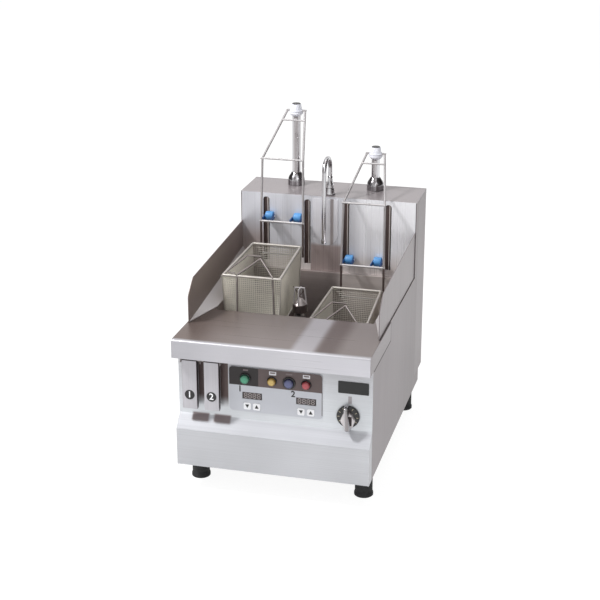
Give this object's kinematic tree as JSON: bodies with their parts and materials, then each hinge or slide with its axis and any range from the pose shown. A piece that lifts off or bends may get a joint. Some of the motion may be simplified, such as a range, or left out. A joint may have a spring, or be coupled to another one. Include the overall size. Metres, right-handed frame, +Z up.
{
  "type": "noodle boiler",
  "caption": "Worktop electric noodle boiler with powered basket lifts, a swivel water spout, splash guards, start paddles and a front control panel.",
  "frame": {"origin": "on the table under the middle of the body", "axes": "+X to the right of the operator, +Y from the front to the back, +Z up"},
  "size_m": [0.4, 0.6, 0.69],
  "materials": {
    "stainless": "brushed stainless sheet",
    "bright_stainless": "fine brushed stainless sheet",
    "splash_stainless": "brushed stainless sheet, shaded",
    "inner_steel": "plain plated steel",
    "chrome": "polished",
    "wire": "bright drawn wire",
    "mesh": "fine woven mesh",
    "foot_rubber": "black moulded rubber",
    "black_plastic": "black moulded",
    "cap_white": "white moulded",
    "key_white": "white keycap",
    "roller_blue": "blue moulded",
    "plate_grey": "light grey film on sheet",
    "nameplate_dark": "dark, bare",
    "board": "circuit board",
    "valve_brass": "plain brass",
    "lens_green": "coloured lens",
    "lens_blue": "coloured lens",
    "lens_yellow": "coloured lens",
    "lens_red": "coloured lens"
  },
  "bodies": {
    "chassis": {"side_panel_left": "stainless", "side_panel_right": "stainless", "worktop": "stainless", "tank": "stainless", "lift_housing": "stainless", "guide_channels": "stainless", "rear_cover": "stainless", "front_panel": "bright_stainless", "splash_guard_left": "splash_stainless", "splash_guard_right": "splash_stainless", "base_pan": "inner_steel", "actuator_shelf": "inner_steel", "lift_actuator_left": "inner_steel", "lift_actuator_right": "inner_steel", "paddle_bracket": "inner_steel", "drain_pipe": "inner_steel", "heater_element": "inner_steel", "lift_collar_left": "chrome", "lift_collar_right": "chrome", "faucet_base": "chrome", "foot_front_left": "foot_rubber", "foot_front_right": "foot_rubber", "foot_rear_left": "foot_rubber", "foot_rear_right": "foot_rubber", "paddle_switches": "black_plastic", "button_bezel_green": "black_plastic", "button_bezel_blue": "black_plastic", "rotary_switch": "black_plastic", "contactor": "black_plastic", "cord_gland": "black_plastic", "control_plate": "plate_grey", "nameplate": "nameplate_dark", "control_board": "board", "water_pipe": "valve_brass", "solenoid_valve": "valve_brass", "pilot_lamp_yellow": "lens_yellow", "pilot_lamp_red": "lens_red"},
    "lift_left": {"lift_rod_left": "chrome", "lift_cap_left": "cap_white"},
    "lift_right": {"lift_rod_right": "chrome", "lift_cap_right": "cap_white"},
    "carrier_left": {"hanger_left": "wire", "basket_left": "mesh"},
    "carrier_right": {"hanger_right": "wire", "basket_right": "mesh"},
    "roller_left_1": {"roller_left_1": "roller_blue"},
    "roller_left_2": {"roller_left_2": "roller_blue"},
    "roller_right_1": {"roller_right_1": "roller_blue"},
    "roller_right_2": {"roller_right_2": "roller_blue"},
    "faucet": {"faucet_spout": "chrome"},
    "paddle_1": {"start_paddle_1": "bright_stainless"},
    "paddle_2": {"start_paddle_2": "bright_stainless"},
    "button_green": {"push_button_green": "lens_green"},
    "button_blue": {"push_button_blue": "lens_blue"},
    "key_down_1": {"key_down_1": "key_white"},
    "key_up_1": {"key_up_1": "key_white"},
    "key_down_2": {"key_down_2": "key_white"},
    "key_up_2": {"key_up_2": "key_white"},
    "knob": {"control_knob": "black_plastic"},
    "overflow": {"overflow_pipe": "splash_stainless"}
  },
  "joints": [
    {"name": "lift_left_travel", "type": "slide", "parent": "chassis", "child": "lift_left", "axis": [0, 0, 1], "range_m": [-0.087, 0]},
    {"name": "lift_right_travel", "type": "slide", "parent": "chassis", "child": "lift_right", "axis": [0, 0, 1], "range_m": [0, 0.087]},
    {"name": "hanger_left_lift_off", "type": "slide", "parent": "lift_left", "child": "carrier_left", "axis": [0, 0, 1], "range_m": [0, 0.06]},
    {"name": "hanger_right_lift_off", "type": "slide", "parent": "lift_right", "child": "carrier_right", "axis": [0, 0, 1], "range_m": [0, 0.06]},
    {"name": "roller_left_1_spin", "type": "hinge", "parent": "carrier_left", "child": "roller_left_1", "pos_m": [-0.1285, 0.1665, 0.4551], "axis": [1, 0, 0], "continuous": true},
    {"name": "roller_left_2_spin", "type": "hinge", "parent": "carrier_left", "child": "roller_left_2", "pos_m": [-0.0645, 0.1665, 0.4551], "axis": [1, 0, 0], "continuous": true},
    {"name": "roller_right_1_spin", "type": "hinge", "parent": "carrier_right", "child": "roller_right_1", "pos_m": [0.053, 0.1665, 0.3681], "axis": [1, 0, 0], "continuous": true},
    {"name": "roller_right_2_spin", "type": "hinge", "parent": "carrier_right", "child": "roller_right_2", "pos_m": [0.117, 0.1665, 0.3681], "axis": [1, 0, 0], "continuous": true},
    {"name": "spout_swivel", "type": "hinge", "parent": "chassis", "child": "faucet", "pos_m": [0.001, 0.197, 0.52], "axis": [0, 0, 1], "range_deg": [-25, 25]},
    {"name": "start_paddle_1_press", "type": "hinge", "parent": "chassis", "child": "paddle_1", "pos_m": [-0.169, -0.2797, 0.285], "axis": [1, 0, 0], "range_deg": [0, 4.5], "stiffness_Nm_per_rad": 0.6, "springref_deg": -2.86},
    {"name": "start_paddle_2_press", "type": "hinge", "parent": "chassis", "child": "paddle_2", "pos_m": [-0.1235, -0.2797, 0.285], "axis": [1, 0, 0], "range_deg": [0, 4.5], "stiffness_Nm_per_rad": 0.6, "springref_deg": -2.86},
    {"name": "button_green_press", "type": "slide", "parent": "chassis", "child": "button_green", "axis": [0, 1, 0], "range_m": [0, 0.003], "stiffness_N_per_m": 400, "springref_m": -0.001},
    {"name": "button_blue_press", "type": "slide", "parent": "chassis", "child": "button_blue", "axis": [0, 1, 0], "range_m": [0, 0.003], "stiffness_N_per_m": 400, "springref_m": -0.001},
    {"name": "key_down_1_press", "type": "slide", "parent": "chassis", "child": "key_down_1", "axis": [0, 1, 0], "range_m": [0, 0.0006], "stiffness_N_per_m": 800, "springref_m": -0.0005},
    {"name": "key_up_1_press", "type": "slide", "parent": "chassis", "child": "key_up_1", "axis": [0, 1, 0], "range_m": [0, 0.0006], "stiffness_N_per_m": 800, "springref_m": -0.0005},
    {"name": "key_down_2_press", "type": "slide", "parent": "chassis", "child": "key_down_2", "axis": [0, 1, 0], "range_m": [0, 0.0006], "stiffness_N_per_m": 800, "springref_m": -0.0005},
    {"name": "key_up_2_press", "type": "slide", "parent": "chassis", "child": "key_up_2", "axis": [0, 1, 0], "range_m": [0, 0.0006], "stiffness_N_per_m": 800, "springref_m": -0.0005},
    {"name": "knob_turn", "type": "hinge", "parent": "chassis", "child": "knob", "pos_m": [0.1502, -0.27, 0.193], "axis": [0, 1, 0], "range_deg": [0, 270]},
    {"name": "overflow_lift_out", "type": "slide", "parent": "chassis", "child": "overflow", "axis": [0, 0, 1], "range_m": [0, 0.19]}
  ]
}
